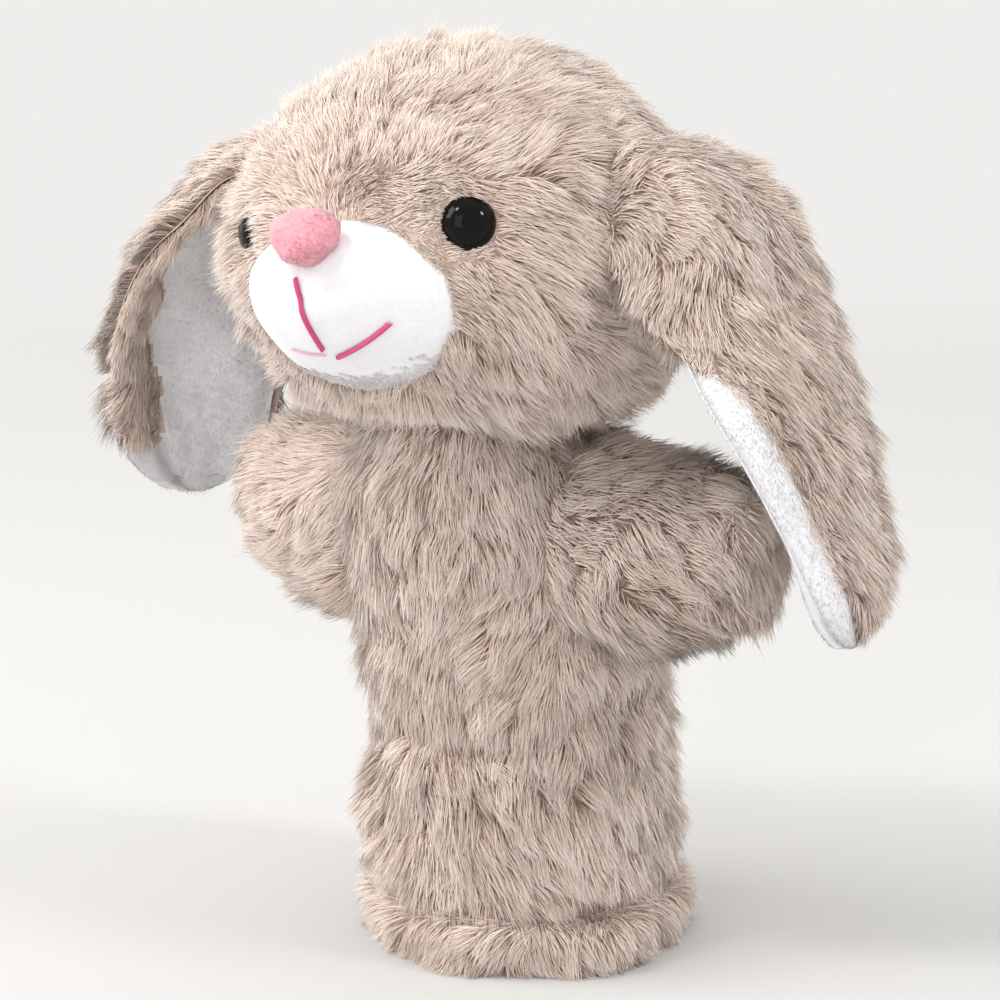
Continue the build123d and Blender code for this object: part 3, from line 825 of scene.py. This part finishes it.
head_points, rows, columns = head_surface()
head_skin = Skin(head_points, grid_faces(rows, columns))
for word, front in (("face", True), ("back", False)):
    points, quads = half_grid(head_points, rows, columns, front)
    cloth = piece(f"head_cloth_{word}", points, quads, backing, on_head, "beige_fur", f"head_{word}_panel",
                  thickness=2.0)


def muzzle_grown(p, grow):
    """Below 1 inside the muzzle's ellipsoid, drawn out by grow."""
    return (((p - MUZZLE) @ MUZZLE_TURN / (MUZZLE_HALF + grow)) ** 2).sum(1)


def eye_away(p):
    """Distance from the nearer eye's axis, a little more at the right eye, which lies deeper in the fur."""
    gaps = []
    for side in (-1, 1):
        spot, out = eye_place(side)
        away = p - spot
        along = away @ out
        away = np.linalg.norm(away - along[:, None] * out, axis=1)
        gaps.append(np.where(along > -12, away + (2.6 if side < 0 else 0), 99.0))
    return np.minimum(*gaps)


def head_comb(p):
    source = np.array([0, -88.0, 204.0])
    flow = unit(p - source)
    flow += np.array([0, 0.35, 0]) + np.array([0, 0, -0.55]) * ease(np.abs(p[:, 0]), 12, 42)[:, None]
    flow[:, 2] -= 0.5 * ease(p[:, 1], -35, 10)
    flow[:, 0] += 0.22 * wobble(p, 45, 72)
    flow[:, 2] += 0.18 * wobble(p, 45, 73)
    return flow


def head_length(p):
    """Long fur, shorter near the nose, on the crown, beside the muzzle and round the left eye."""
    from_nose = np.linalg.norm(p - [0, -88, 210], axis=1)
    longer = 10.5 - 4.6 * (1 - ease(from_nose, 18, 58)) - 1.5 * ease(p[:, 2], 225, 245)
    longer -= 3.0 * (1 - ease(muzzle_grown(p, 0), 1.0, 1.9))
    near_eye = 1 - ease(eye_away(p), EYE_RADIUS + 0.5, 15)
    longer -= np.where(p[:, 0] > 0, 3.0, 0.4) * near_eye
    return np.maximum(longer, 2.6)


def head_bare(p):
    return (muzzle_grown(p, -2.2) < 1) | (eye_away(p) < EYE_RADIUS - 0.6) | (p[:, 2] < 151.5)


head_pile = Pile(head_skin, 3.0, head_comb, head_length, 74, tuft=5.0, bare=head_bare)
upper = head_pile.root[:, 2] >= 212
for word, chosen in (("crown", upper), ("cheeks", ~upper)):
    head_pile.part(chosen).cover(f"head_pile_{word}", 0.31, fur, "beige_fur", on_head, (0, HEAD_Y))


# ---- inside the head: finger pocket and stuffing ---------------------------------------------------
def turned(profile, centre_y, columns=72, lumps=0.0, seed=0):
    """A surface turned about a vertical axis from (radius, height) points."""
    cosine, sine = around(columns)
    radius, height = np.array(profile, float).T
    middle = np.broadcast_to(np.asarray(centre_y, float), radius.shape)
    flat = ring_stack(radius[:, None] * cosine, middle[:, None] + radius[:, None] * sine, height[:, None])
    if lumps:
        swell = lumps * (wobble(flat, 22, seed) - 1.2) * ease(np.repeat(radius, columns), 4, 30)
        flat = flat + unit(flat - HEAD) * swell[:, None]
    return flat, grid_faces(len(radius), columns)


pocket_profile = [(25.4, 156.5), (22.5, 164.0), (17.0, 170.5), (14.0, 177.0), (13.7, 186.0), (13.6, 196.0),
                  (13.5, 204.0), (12.4, 209.5), (9.0, 213.0), (4.5, 214.6), (0.3, 215.0)]
points, quads = turned(pocket_profile, NECK[1])
pocket = piece("finger_pocket_knit", points, quads[:, ::-1], knit, on_head, "lining_knit", "finger_pocket")
thicken(pocket, 0.9, 1.0)

filling_profile, filling_y = [], []
for a in np.linspace(0, math.pi / 2, 9):
    filling_profile.append((0.4 + 15.6 * math.sin(a), 217.5 - 7.0 * (1 - math.cos(a))))
    filling_y.append(NECK[1])
for radius, height in ((16.0, 200), (16.2, 190), (17.0, 180), (20.0, 172.5), (26.0, 166.0)):
    filling_profile.append((radius, height))
    filling_y.append(NECK[1])
for a in np.linspace(-0.62, math.pi / 2, 19):
    height = HEAD_UP if a > 0 else HEAD_DOWN
    filling_profile.append((0.3 + (HEAD_WIDE - 5.5) * math.cos(a), HEAD[2] + (height - 5.5) * math.sin(a)))
    filling_y.append(HEAD_Y)
points, quads = turned(filling_profile, filling_y, 96, 0.9, 81)
filling = piece("head_filling", points, quads, stuffing, on_head, "stuffing", "head_stuffing")


# ---- muzzle, nose and mouth -------------------------------------------------------------------------
def muzzle_front(d, grow=0.0):
    """The muzzle's surface in each of its own directions d from its middle, with soft creases."""
    half = MUZZLE_HALF + grow
    p = d / np.sqrt(((d / half) ** 2).sum(1))[:, None]
    front = ease(-p[:, 1], 4, 20)
    crease = np.exp(-(((p[:, 0] + 0.5) / 2.6) ** 2)) * front * ease(p[:, 2], -11, -4)
    cheek = np.exp(-(((np.abs(p[:, 0]) - 14) / 11) ** 2)) * np.exp(-(((p[:, 2] - 2) / 10) ** 2)) * front
    smile = -9.5 + 0.022 * p[:, 0] ** 2
    fold = np.exp(-(((p[:, 2] - smile) / 1.7) ** 2)) * front * (1 - ease(np.abs(p[:, 0]), 18, 26))
    chin = np.exp(-((p[:, 0] / 14) ** 2)) * np.exp(-(((p[:, 2] + 15) / 4.5) ** 2)) * front
    beside_nose = np.exp(-(((p[:, 2] - 9) / 4.5) ** 2)) * front
    pinch = np.exp(-(((p[:, 0] - 6.0 - 0.9 * (p[:, 2] - 8)) / 1.6) ** 2)) * beside_nose
    push = 0.8 * cheek - 1.1 * crease - 0.8 * fold + 0.5 * chin - 0.7 * pinch + 0.2 * wobble(p, 19, 91) - 0.6
    return MUZZLE + (p + unit(p) * push[:, None]) @ MUZZLE_TURN.T


def forward_ball(last, rows, columns):
    """Directions in rings round -Y, from straight ahead to the angle last."""
    polar = np.linspace(0.02, last, rows)
    cosine, sine = around(columns)
    wide = np.sin(polar)[:, None]
    return ring_stack(wide * cosine, -np.cos(polar)[:, None], wide * sine)


def muzzle_surface(grow=0.0, rows=72, columns=120):
    return muzzle_front(forward_ball(2.05, rows, columns), grow), rows, columns


points, rows, columns = muzzle_surface()
quads = facing_out(points, grid_faces(rows, columns), MUZZLE)
muzzle_skin = Skin(points, quads)
muzzle = piece("muzzle_plush", points, quads, white_plush, on_head, "white_plush", "muzzle_cover",
               thickness=1.1)

points, rows, columns = muzzle_surface(-2.2, 40, 60)
quads = facing_out(points, grid_faces(rows, columns), MUZZLE)
cap = [[(rows - 1) * columns + j for j in range(columns)]]
faces = [list(q) for q in quads] + cap
piece("muzzle_filling", points, faces, stuffing, on_head, "stuffing", "muzzle_stuffing")


def muzzle_comb(p):
    flow = unit(p - [0, -104, 198])
    flow[:, 2] -= 0.5
    return flow + 0.3 * np.stack([wobble(p, 12, 92), wobble(p, 12, 93), wobble(p, 12, 94)], 1)


def nap_bare(p):
    """The nap only grows in an uneven band where the muzzle meets the head."""
    from_band = np.abs(np.linalg.norm(p - HEAD, axis=1) - 54.5)
    return from_band > 2.2 + 0.8 * wobble(p, 4, 96)


nap = Pile(muzzle_skin, 10.0, muzzle_comb, even(1.3), 95, tuft=0.5, lean=(38, 62), pull=0.1, bare=nap_bare)
nap.cover("muzzle_nap", 0.19, white_pile, "white_plush", on_head, MUZZLE[:2], 0.08)


def nose_surface(rows=40, columns=64):
    flat = forward_ball(np.pi - 0.02, rows, columns)
    p = flat * NOSE_HALF
    # a rounded triangle, wide at the top
    high_share = np.clip(p[:, 2] / NOSE_HALF[2], -1, 1)
    p[:, 0] *= 1 + 0.22 * high_share
    p[:, 1] -= 1.6 * (1 - high_share) * (p[:, 1] < 0) * 0.5
    p += flat * (0.2 * wobble(p, 8, 97))[:, None]
    return NOSE + p @ NOSE_TURN.T, rows, columns


points, rows, columns = nose_surface()
quads = facing_out(points, grid_faces(rows, columns), NOSE)
nose_skin = Skin(points, quads)
ends = [[j for j in range(columns)], [(rows - 1) * columns + j for j in range(columns)]]
faces = [list(q) for q in quads] + ends
nose = piece("nose_flock", points, faces, pink, on_head, "pink_flock", "nose")
nap = Pile(nose_skin, 24.0, muzzle_comb, even(0.75), 98, tuft=0.8, lean=(18, 40), pull=0.1,
           bare=lambda p: (p[:, 1] > NOSE[1] + 3))
nap.cover("nose_nap", 0.13, pink_pile, "pink_flock", on_head, NOSE[:2], 0.15)


def on_muzzle(spots):
    """The muzzle's surface nearest in direction to the spots, and its normals there."""
    here = muzzle_front((spots - MUZZLE) @ MUZZLE_TURN)
    out = unit(((here - MUZZLE) @ MUZZLE_TURN / MUZZLE_HALF**2) @ MUZZLE_TURN.T)
    return here, out


def arc(start, middle, end, step):
    """Evenly spaced points on a curve through three points."""
    t = np.linspace(0, 1, 200)[:, None]
    start, middle, end = map(np.array, (start, middle, end))
    control = 2 * middle - (start + end) / 2
    line = (1 - t) ** 2 * start + 2 * t * (1 - t) * control + t**2 * end
    far = np.concatenate([[0], np.cumsum(np.linalg.norm(np.diff(line, axis=0), axis=1))])
    at = np.linspace(0, far[-1], int(far[-1] / step) + 1)
    return np.stack([np.interp(at, far, line[:, k]) for k in range(3)], 1)


for word, start, middle, end, radius, material in (
    ("centre", (-2.9, -100.9, 193.7), (-1.2, -99.3, 185.9), (-0.3, -92.6, 175.8), 0.28, mouth_thread),
    ("left", (2.6, -89.9, 174.1), (11.0, -90.8, 178.2), (19.1, -91.6, 183.2), 0.28, mouth_thread),
    ("right", (-0.9, -90.9, 174.3), (-6.4, -90.6, 174.2), (-11.8, -90.1, 174.9), 0.15, faint_thread),
):
    here, out = on_muzzle(arc(start, middle, end, 0.42))
    along = unit(np.gradient(here, axis=0))
    across = unit(np.cross(along, out))
    rise = 0.75 if word != "right" else 0.45
    slant = 0.85 * across + 0.6 * along
    points, faces = stitches(here + rise * out, slant, out, 5.6 * radius, radius)
    piece(f"mouth_{word}_thread", points, faces, material, on_head, "mouth_thread", f"mouth_{word}_stitch")


# ---- ears -------------------------------------------------------------------------------------------
# x, y, z of the middle line, turn of the blade about Z in degrees, width; root first
LEFT_EAR = [
    (52, -32, 222, 0, 36),
    (64, -31, 217.5, -8, 46),
    (72.5, -30, 205.5, -14, 53),
    (79, -28.5, 191, -14, 57),
    (86.3, -27, 176, -9, 57),
    (95, -24, 155, -2, 54),
    (101.5, -20.5, 134, 2, 46),
    (106, -17.5, 116, 3, 36),
    (108.5, -16, 103, 3, 30),
]
RIGHT_EAR = [
    (-52, -32, 222, 0, 36),
    (-66, -31, 217.5, 0, 46),
    (-78, -29, 205, 6, 54),
    (-87.5, -27, 192, 18, 58),
    (-95.5, -23, 177, 30, 58),
    (-101.5, -19, 162, 37, 57),
    (-105, -16.5, 147, 40, 51),
    (-107, -14, 134, 41, 46),
    (-108, -13, 122, 41, 42),
]


def ear_frame(table, side, rows):
    """Along the ear: its middle line, the across and outward directions, and the half width."""
    table = np.array(table, float)
    far = np.concatenate([[0], np.cumsum(np.linalg.norm(np.diff(table[:, :3], axis=0), axis=1))])
    s = np.linspace(0, 1, rows)
    at = far[-1] * (1 - (1 - s) ** 1.25)
    rowed = through(at, far, table)
    middle, turn, width = rowed[:, :3], np.radians(rowed[:, 3]), rowed[:, 4]
    width = width * np.sqrt(np.maximum(1 - np.clip((at / far[-1] - 0.84) / 0.16, 0, 1) ** 2, 0.004))
    along = unit(np.gradient(middle, axis=0))
    across = np.stack([-side * np.sin(turn), np.cos(turn), 0 * turn], 1)
    across = unit(across - dot(across, along) * along)
    out = unit(np.cross(along, across)) * side
    return middle, across, out, width / 2, at / far[-1]


def ear_side(table, side, outer, back=False, full=False, rows=80, columns=41):
    """One face of an ear's fur cloth or lining. back picks the hidden side, and full leaves out the
    lining's own edges."""
    middle, across, out, half, share = ear_frame(table, side, rows)
    w = np.linspace(-1, 1, columns)
    size = np.minimum(1, half / 16)[:, None]
    dish = 5.0 * ease(share, 0.0, 0.3)[:, None] * (1 - w**2) * size
    body = np.sqrt(np.clip(1 - w**2, 0, 1))[None, :] * np.minimum(1, 0.3 + half / 30)[:, None]
    lift = dish + (1 if outer else -1) * (0.1 if back else 0.6 + (2.8 if outer else 1.2) * body)
    # the front edge rolls inwards near the root and all down the right ear, outwards lower on the left ear
    roll = ease(-w, 0.3, 1.0)[None, :] ** 1.6 * size
    lower = ease(share, 0.34, 0.55)[:, None] if side > 0 else 0.0
    upper = 1 - ease(share, 0.12, 0.42)[:, None]
    reach = half[:, None] * w[None, :] + 2.0 * (1 - lower) * roll
    lift = lift + (8.0 * lower - 5.0 - (9.0 * upper if side > 0 else 0.0)) * roll
    if not outer and not full:
        # the lining stops short of the front edge where the fur laps over it, and stands proud elsewhere
        proud = lower if side > 0 else ease(share, 0.80, 0.92)[:, None]
        edge = ease(-w, 0.62, 1.0)[None, :] * size
        reach = reach + (4.0 - (11.5 if side > 0 else 7.0) * proud) * edge
        plump = np.sin(np.pi * np.clip((-w - 0.6) / 0.4, 0, 1))[None, :] * size * proud
        lift = lift + (2.6 if back else -0.4) * plump
        reach = reach - 2.6 * ease(w, 0.6, 1.0)[None, :] * size
        if not back:
            lift = lift - 2.4 * ease(share, 0.76, 0.93)[:, None]
        middle = middle + 3.0 * ease(share, 0.84, 1.0)[:, None] * unit(np.gradient(middle, axis=0))
    p = middle[:, None, :] + across[:, None, :] * reach[..., None] + out[:, None, :] * lift[..., None]
    flat = p.reshape(-1, 3)
    if not outer and not back:
        soft = 1.3 * wobble(flat * [1, 1, 0.6], 26, 101 + side) + 0.3 * wobble(flat, 10, 103 + side)
        soft *= np.tile(ease(1 - np.abs(w), 0.02, 0.3), rows)
        flat = flat - np.repeat(out, columns, 0) * soft[:, None]
    return flat, rows, columns


def ear_shell(table, side, outer):
    """One closed layer of an ear, and the skins of its face and its hidden side."""
    face, rows, columns = ear_side(table, side, outer)
    rear_side = ear_side(table, side, outer, back=True)[0]
    points = np.concatenate([face, rear_side])
    front = grid_faces(rows, columns, wrap=False)
    rear = front[:, ::-1] + rows * columns
    edge = [i * columns for i in range(rows)]
    edge += [(rows - 1) * columns + j for j in range(1, columns)]
    edge += [i * columns + columns - 1 for i in range(rows - 2, -1, -1)]
    edge += [j for j in range(columns - 2, 0, -1)]
    rim = [[b, a, a + rows * columns, b + rows * columns] for a, b in zip(edge, edge[1:] + edge[:1])]
    quads = np.concatenate([front, rear, np.array(rim)])
    out = np.repeat(ear_frame(table, side, rows)[2], columns, 0) * (1 if outer else -1)
    if dot(Skin(points, quads).normals[: rows * columns], out).mean() < 0:
        quads = quads[:, ::-1]
    rear_quads = quads[len(front) : 2 * len(front)] - rows * columns
    return points, quads, Skin(face, quads[: len(front)]), Skin(rear_side, rear_quads)


def ear_pieces(word, table, side):
    root = np.array(table[0][:3])
    bend = bending(root - [side * 5, 0, 0], root + [side * 14, 0, -3])
    points, quads, skin, _ = ear_shell(table, side, True)
    cloth = piece(f"ear_{word}_cloth", points, quads, backing, bend, "beige_fur", f"ear_{word}_fur")

    points, quads, inner, inner_back = ear_shell(table, side, False)
    lining = piece(f"ear_{word}_plush", points, quads, white_plush, bend, "white_plush", f"ear_{word}_lining")

    middle, across, _, half, share = ear_frame(table, side, 80)
    along = unit(np.gradient(middle, axis=0))
    tree = KDTree(len(middle))
    for k, p in enumerate(middle):
        tree.insert(p, k)
    tree.balance()

    def places(p):
        """The nearest row of the ear, and how far across it each point lies."""
        k = np.array([tree.find(q)[1] for q in p])
        return k, dot(p - middle[k], across[k]) / half[k][:, None]

    def comb(p):
        k, sideways = places(p)
        flow = along[k] + 0.55 * np.sign(sideways) * np.abs(sideways) ** 1.5 * across[k]
        if side > 0:
            flow += 0.6 * ease(-sideways, 0.3, 1.0) * ease(share[k], 0.3, 0.5)[:, None] * across[k]
        flow[:, 0] += 0.2 * wobble(p, 40, 105)
        flow[:, 1] += 0.25 * wobble(p, 40, 106)
        return flow

    def length(p):
        k, sideways = places(p)
        short = 4.5 * ease(share[k], 0.86, 1.0) + 2.5 * (1 - ease(share[k], 0.1, 0.3))
        if side > 0:
            short += 6.5 * ease(-sideways[:, 0], 0.5, 0.9) * ease(share[k], 0.25, 0.4)
        return 10.0 - np.minimum(short, 7.5)

    grown = Pile(skin, 3.0, comb, length, 107 + side, lean=(38, 70), droop=0.1)
    grown.cover(f"ear_{word}_pile", FUR_WIDTH, fur, "beige_fur", bend, root[:2])

    # the fur cloth laps over the front edge and the ear's top, round to the lining's side
    over, rows, columns = ear_side(table, side, False, full=True)
    lap_quads = facing_out(over, grid_faces(rows, columns, wrap=False), np.array([side * 400.0, 200, 150]))
    far_down, width = (0.88, 0.56) if side < 0 else (0.38, 0.25)

    def lapped(p):
        k, sideways = places(p)
        edge = -1 + width + (2.2 - width) * (1 - ease(share[k], 0.08, 0.34)) + 0.05 * wobble(p, 22, 109)
        return (sideways[:, 0] < edge) & (share[k] < far_down)

    def over_edge(p):
        k = places(p)[0]
        return -across[k] + 0.7 * along[k]

    # that part of the lining is the turned edge of the fur cloth, in the backing's darker colour of painted
    # shade
    lining.data.materials.append(backing)
    middles = np.array([face.center for face in lining.data.polygons]) / MM
    lining.data.polygons.foreach_set("material_index", lapped(middles).astype(np.int32))

    grown = Pile(Skin(over, lap_quads), 4.2, over_edge, even(7.0), 127, lean=(48, 74), droop=0.1,
                 bare=lambda p: ~lapped(p))
    grown.normal = unit(grown.normal - 1.2 * across[places(grown.root)[0]] + [0, 0, 0.5])
    grown.cover(f"ear_{word}_lap_pile", FUR_WIDTH, fur, "beige_fur", bend, root[:2])

    def covered(p):
        """Where the lining's hidden side really is hidden by the fur cloth."""
        k, sideways = places(p)
        return (sideways[:, 0] > -0.9) & (share[k] < 0.93)

    for label, plush, bare in (("nap", inner, lapped), ("rim_nap", inner_back, covered)):
        grown = Pile(plush, 6.0, comb, even(1.1), 117 + side, tuft=0.5, lean=(38, 62), pull=0.1, bare=bare)
        grown.cover(f"ear_{word}_{label}", 0.18, white_pile, "white_plush", bend, root[:2], 0.08)


ear_pieces("left", LEFT_EAR, 1)
ear_pieces("right", RIGHT_EAR, -1)


# ---- eyes: the CAD nodes with their own finish --------------------------------------------------------
def finish_node(name, material):
    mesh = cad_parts[name].data
    mesh.materials.clear()
    mesh.materials.append(material)
    mesh.polygons.foreach_set("use_smooth", np.ones(len(mesh.polygons), bool))


gloss, washer = eye_material(), washer_material()
for word in ("left", "right"):
    finish_node(f"eye_{word}", gloss)
    finish_node(f"eye_washer_{word}", washer)


# ---- floor, light and camera ---------------------------------------------------------------------------
def build_stage():
    """A round pale floor that fades into the surroundings towards its edge."""
    radius, rows, columns = 2600.0, 40, 96
    r = radius * np.linspace(0, 1, rows)[:, None] ** 2 + 0.5
    cosine, sine = around(columns)
    shader = Shader("studio_floor", 0.9, Specular_IOR_Level=0.1)
    shader.principled.inputs["Base Color"].default_value = (0.66, 0.654, 0.648, 1)
    tree = shader.tree
    length = tree.nodes.new("ShaderNodeVectorMath")
    length.operation = "LENGTH"
    fade = tree.nodes.new("ShaderNodeMapRange")
    fade.interpolation_type = "SMOOTHSTEP"
    fade.inputs["From Min"].default_value = 0.45
    fade.inputs["From Max"].default_value = 2.2
    clear = tree.nodes.new("ShaderNodeBsdfTransparent")
    blend = tree.nodes.new("ShaderNodeMixShader")
    shader.link(shader.coordinates, length.inputs[0])
    shader.link(length.outputs["Value"], fade.inputs["Value"])
    shader.link(fade.outputs["Result"], blend.inputs["Fac"])
    shader.link(shader.principled.outputs["BSDF"], blend.inputs[1])
    shader.link(clear.outputs["BSDF"], blend.inputs[2])
    shader.link(blend.outputs["Shader"], tree.nodes["Material Output"].inputs["Surface"])
    disc = ring_stack(r * cosine, r * sine, 0.0)
    floor = add_mesh("studio_floor", disc, grid_faces(rows, columns), shader.material)


def build_light(name, place, size, power, colour):
    """A soft square lamp aimed at the puppet's chest."""
    lamp = bpy.data.lights.new(name, "AREA")
    lamp.shape = "SQUARE"
    lamp.size = size
    lamp.energy = power
    lamp.color = colour
    made = bpy.data.objects.new(name, lamp)
    made.location = place
    aim = Vector((0, -0.02, 0.15)) - Vector(place)
    made.rotation_mode = "QUATERNION"
    made.rotation_quaternion = aim.to_track_quat("-Z", "Y")
    bpy.context.scene.collection.objects.link(made)


def build_world(colour, strength):
    world = bpy.data.worlds.new("studio")
    world.use_nodes = True
    background = world.node_tree.nodes["Background"]
    background.inputs["Color"].default_value = (*colour, 1)
    background.inputs["Strength"].default_value = strength
    bpy.context.scene.world = world


def build_camera(azimuth, elevation, distance, target, lens):
    camera = bpy.data.cameras.new("camera")
    camera.lens = lens
    camera.sensor_width = 36
    camera.clip_start, camera.clip_end = 0.05, 20
    made = bpy.data.objects.new("camera", camera)
    a, e = math.radians(azimuth), math.radians(elevation)
    back = Vector((math.sin(a) * math.cos(e), -math.cos(a) * math.cos(e), math.sin(e)))
    made.location = Vector(target) + back * distance
    made.rotation_mode = "QUATERNION"
    made.rotation_quaternion = (-back).to_track_quat("-Z", "Y")
    bpy.context.scene.collection.objects.link(made)
    bpy.context.scene.camera = made


build_stage()
build_world((0.863, 0.855, 0.838), 1.0)
build_light("key", (-2.8, -2.1, 2.5), 2.4, 96.0, (1.0, 0.985, 0.97))
build_light("side", (1.7, 0.1, 1.35), 0.36, 12.0, (1.0, 0.99, 0.98))
build_light("front", (-0.45, -1.1, 1.63), 0.3, 8.0, (1.0, 0.99, 0.98))
build_light("low", (0.3, -2.4, 0.7), 1.4, 9.0, (1.0, 0.99, 0.98))
build_camera(33, 10.3, 0.700, (-0.0061, -0.0040, 0.124), 90.08)
bpy.context.scene.view_settings.view_transform = "Standard"
